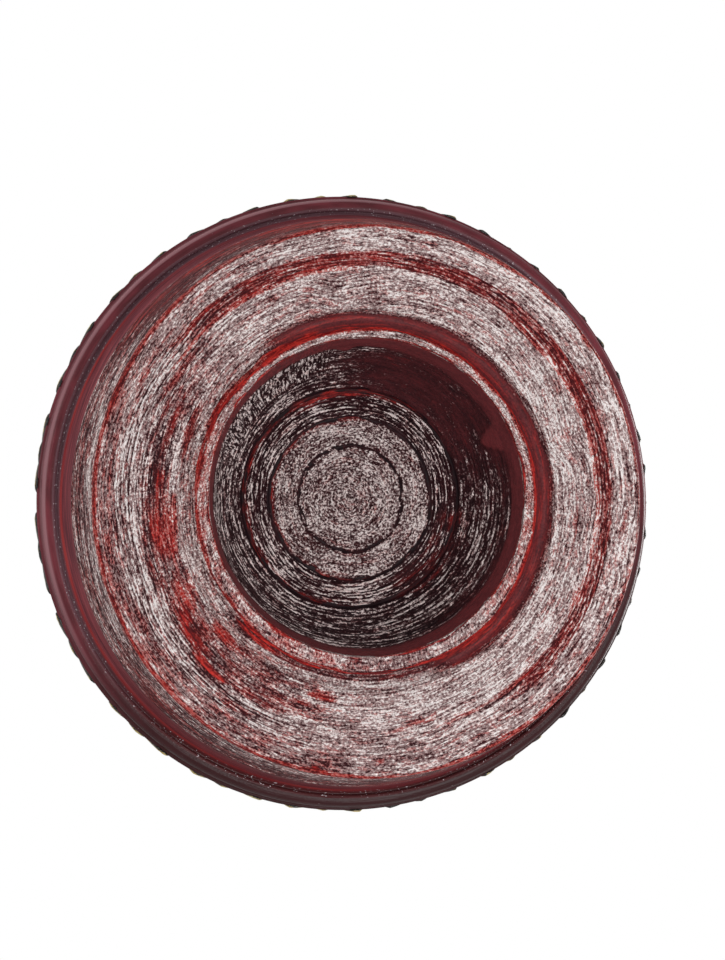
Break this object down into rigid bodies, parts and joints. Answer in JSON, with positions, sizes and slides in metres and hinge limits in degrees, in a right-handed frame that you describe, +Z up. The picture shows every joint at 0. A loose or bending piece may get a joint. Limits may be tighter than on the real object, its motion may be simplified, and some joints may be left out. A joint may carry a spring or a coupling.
{
  "type": "painted wooden bowl",
  "caption": "Round turned and lacquered wooden bowl on a broad turned base with a foot ring, with a raised gilded petal border round the wall.",
  "frame": {"origin": "centre of the foot ring, on the plane that the bowl stands on", "axes": "+Z up along the turning axis, from the foot ring to the rim"},
  "size_m": [0.1726, 0.171, 0.078],
  "materials": {
    "body_lacquer": "gloss black and maroon lacquer over turned wood",
    "base_lacquer": "worn red lacquer over rough-turned wood",
    "gilding": "worn gold over black lacquer relief"
  },
  "bodies": {
    "root": {"bowl_body": "body_lacquer", "base_block": "base_lacquer", "relief_sprig_01": "gilding", "relief_sprig_02": "gilding", "relief_sprig_03": "gilding", "relief_sprig_04": "gilding", "relief_sprig_05": "gilding", "relief_sprig_06": "gilding", "relief_sprig_07": "gilding", "relief_sprig_08": "gilding", "relief_sprig_09": "gilding", "relief_sprig_10": "gilding", "relief_sprig_11": "gilding", "relief_sprig_12": "gilding", "relief_sprig_13": "gilding", "relief_sprig_14": "gilding", "relief_sprig_15": "gilding", "relief_sprig_16": "gilding", "relief_sprig_17": "gilding", "relief_sprig_18": "gilding", "relief_sprig_19": "gilding"}
  },
  "joints": []
}
